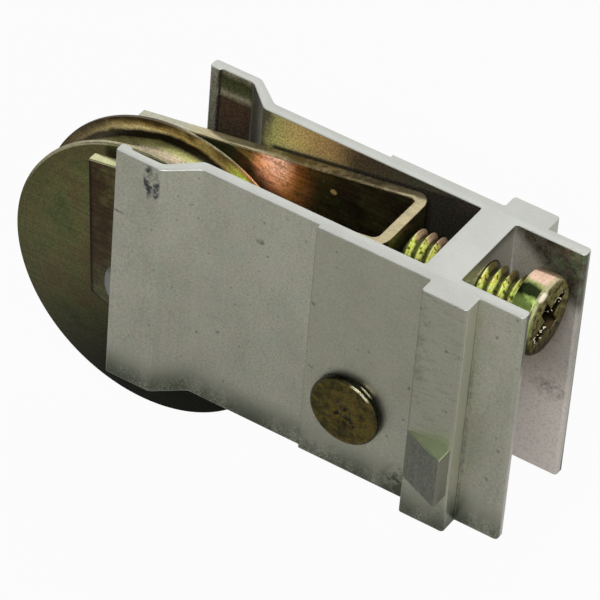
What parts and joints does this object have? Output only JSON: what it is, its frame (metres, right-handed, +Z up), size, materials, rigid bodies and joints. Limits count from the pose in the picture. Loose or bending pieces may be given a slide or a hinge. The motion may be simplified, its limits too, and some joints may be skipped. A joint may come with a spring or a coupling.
{
  "type": "sliding door roller",
  "caption": "Sliding door roller: grooved steel wheel in a tilting yoke inside an extruded aluminium housing, with an end screw that sets the wheel's height.",
  "frame": {"origin": "middle of the web's top face, where the door's bottom rail sits on the housing", "axes": "+X along the housing towards the adjusting screw, +Y across it, +Z up, out of the housing's top"},
  "size_m": [0.0664, 0.0218, 0.0404],
  "materials": {
    "aluminium": "mill finish, fine lines along the extrusion, sawn ends",
    "yoke_plated": "yellow chromate over zinc plating, semi-gloss",
    "wheel_plated": "yellow chromate over zinc plating, turned faces",
    "rivet_plated": "yellow chromate over zinc plating, satin",
    "screw_plated": "yellow chromate over zinc plating, bright",
    "axle_steel": "bright zinc",
    "steel": "plain steel",
    "bearing_steel": "ground",
    "ball_steel": "polished",
    "cage_steel": "pressed",
    "shield_steel": "pressed"
  },
  "bodies": {
    "housing": {"housing": "aluminium", "pivot_rivet": "rivet_plated", "pivot_sleeve": "steel"},
    "yoke": {"yoke": "yoke_plated", "axle_rivet": "axle_steel", "axle_spacer_near": "steel", "axle_spacer_far": "steel", "bearing_inner_race": "bearing_steel"},
    "wheel": {"wheel": "wheel_plated", "bearing_outer_race": "bearing_steel", "bearing_shield_near": "shield_steel", "bearing_shield_far": "shield_steel"},
    "cage": {"bearing_cage": "cage_steel", "bearing_ball_1": "ball_steel", "bearing_ball_2": "ball_steel", "bearing_ball_3": "ball_steel", "bearing_ball_4": "ball_steel", "bearing_ball_5": "ball_steel", "bearing_ball_6": "ball_steel", "bearing_ball_7": "ball_steel", "bearing_ball_8": "ball_steel", "bearing_ball_9": "ball_steel"},
    "screw": {"adjusting_screw": "screw_plated"}
  },
  "joints": [
    {"name": "yoke_tilt", "type": "hinge", "parent": "housing", "child": "yoke", "pos_m": [-0.00877, 0, -0.02265], "axis": [0, 1, 0], "range_deg": [-16, 9.7]},
    {"name": "wheel_spin", "type": "hinge", "parent": "yoke", "child": "wheel", "pos_m": [-0.03808, 0, -0.02277], "axis": [0, 1, 0], "continuous": true},
    {"name": "cage_spin", "type": "hinge", "parent": "yoke", "child": "cage", "pos_m": [-0.03808, 0, -0.02277], "axis": [0, 1, 0], "continuous": true},
    {"name": "screw_travel", "type": "slide", "parent": "housing", "child": "screw", "axis": [1, 0, 0], "range_m": [-0.00498, 0.00302]}
  ],
  "couplings": [
    {"joint": "screw_travel", "follows": "yoke_tilt", "m_per_rad": 0.0177},
    {"joint": "cage_spin", "follows": "wheel_spin", "ratio": 0.6019}
  ]
}
